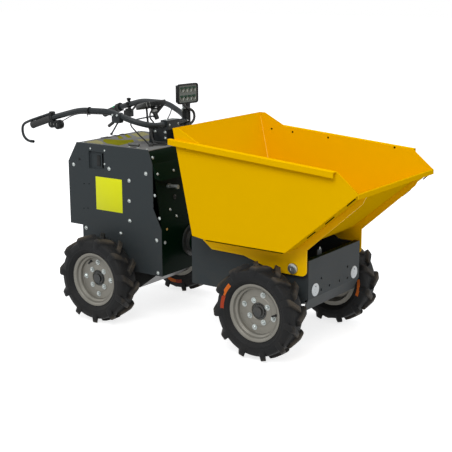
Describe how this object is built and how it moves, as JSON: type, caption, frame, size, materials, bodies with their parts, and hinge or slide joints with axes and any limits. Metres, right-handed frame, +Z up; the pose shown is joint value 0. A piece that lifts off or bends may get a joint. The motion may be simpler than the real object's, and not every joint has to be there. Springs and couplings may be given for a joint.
{
  "type": "site dumper",
  "caption": "Walk-behind articulated site dumper: boxy electric rear unit with handlebar and work lamp, hinged front unit with a tipping skip on lugged tyres.",
  "frame": {"origin": "on the ground under the middle of the whole machine", "axes": "+X forwards, to the skip's lip; +Y to the machine's left; +Z up"},
  "size_m": [1.793, 0.707, 1.0255],
  "materials": {
    "tyre": "matte",
    "rim_silver": "satin",
    "skip_yellow": "satin",
    "anthracite_paint": "satin",
    "lid_grey": "satin",
    "dark_cast": "matte",
    "zinc": "satin",
    "ram_paint": "satin",
    "ram_chrome": "polished",
    "black_tube": "satin",
    "black_rubber": "matte",
    "black_plastic": "matte",
    "lamp_black": "satin"
  },
  "bodies": {
    "rear_unit": {"side_panel_left": "anthracite_paint", "side_panel_right": "anthracite_paint", "bulkhead": "anthracite_paint", "rear_panel": "anthracite_paint", "lid": "lid_grey", "rear_floor": "anthracite_paint", "battery": "black_plastic", "rear_transaxle": "dark_cast", "roll_housing": "dark_cast", "handlebar": "black_tube", "grip_left": "black_rubber", "grip_right": "black_rubber", "guard_lever": "black_tube", "mast": "black_tube", "console": "black_plastic", "lamp": "lamp_black", "lamp_bracket": "zinc", "bulkhead_cover": "anthracite_paint", "hose_fitting": "zinc", "lid_latch": "zinc", "bar_brace": "black_tube", "switch_box": "black_plastic", "control_cords": "black_rubber", "lamp_conduit": "black_rubber", "lever_clamp": "black_tube", "grip_pod": "black_plastic"},
    "pivot_yoke": {"pivot_yoke": "dark_cast"},
    "front_unit": {"chassis_sides": "anthracite_paint", "chassis_back": "anthracite_paint", "chassis_pan": "anthracite_paint", "nose_plate": "anthracite_paint", "front_axle": "dark_cast", "steering_pin": "zinc", "tip_pins": "zinc", "rest_buffers": "black_rubber", "ram_base_pin": "zinc"},
    "skip": {"skip_tub": "skip_yellow", "skip_cradle": "skip_yellow", "skip_bearers": "skip_yellow"},
    "ram_barrel": {"ram_barrel": "ram_paint"},
    "ram_rod": {"ram_rod": "ram_chrome"},
    "wheel_rear_left": {"rim_rear_left": "rim_silver", "tyre_rear_left": "tyre"},
    "wheel_rear_right": {"rim_rear_right": "rim_silver", "tyre_rear_right": "tyre"},
    "wheel_front_left": {"rim_front_left": "rim_silver", "tyre_front_left": "tyre"},
    "wheel_front_right": {"rim_front_right": "rim_silver", "tyre_front_right": "tyre"}
  },
  "joints": [
    {"name": "chassis_roll", "type": "hinge", "parent": "rear_unit", "child": "pivot_yoke", "pos_m": [-0.0815, 0, 0.35], "axis": [1, 0, 0], "range_deg": [-8, 8]},
    {"name": "steering", "type": "hinge", "parent": "pivot_yoke", "child": "front_unit", "pos_m": [-0.0315, 0, 0.35], "axis": [0, 0, 1], "range_deg": [-30, 30]},
    {"name": "skip_tip", "type": "hinge", "parent": "front_unit", "child": "skip", "pos_m": [0.5635, 0, 0.371], "axis": [0, 1, 0], "range_deg": [0, 75]},
    {"name": "ram_swing", "type": "hinge", "parent": "front_unit", "child": "ram_barrel", "pos_m": [0.1005, 0, 0.272], "axis": [0, 1, 0], "range_deg": [-5, 5]},
    {"name": "ram_slide", "type": "slide", "parent": "ram_barrel", "child": "ram_rod", "axis": [0.8866, 0, 0.4625], "range_m": [0, 0.2125]},
    {"name": "wheel_rear_left_spin", "type": "hinge", "parent": "rear_unit", "child": "wheel_rear_left", "pos_m": [-0.3995, 0.2995, 0.195], "axis": [0, 1, 0], "continuous": true},
    {"name": "wheel_rear_right_spin", "type": "hinge", "parent": "rear_unit", "child": "wheel_rear_right", "pos_m": [-0.3995, -0.2995, 0.195], "axis": [0, 1, 0], "continuous": true},
    {"name": "wheel_front_left_spin", "type": "hinge", "parent": "front_unit", "child": "wheel_front_left", "pos_m": [0.4535, 0.2995, 0.195], "axis": [0, 1, 0], "continuous": true},
    {"name": "wheel_front_right_spin", "type": "hinge", "parent": "front_unit", "child": "wheel_front_right", "pos_m": [0.4535, -0.2995, 0.195], "axis": [0, 1, 0], "continuous": true}
  ],
  "couplings": [
    {"joint": "ram_swing", "follows": "skip_tip", "ratio": -0.02673},
    {"joint": "ram_slide", "follows": "skip_tip", "m_per_rad": 0.15963}
  ]
}
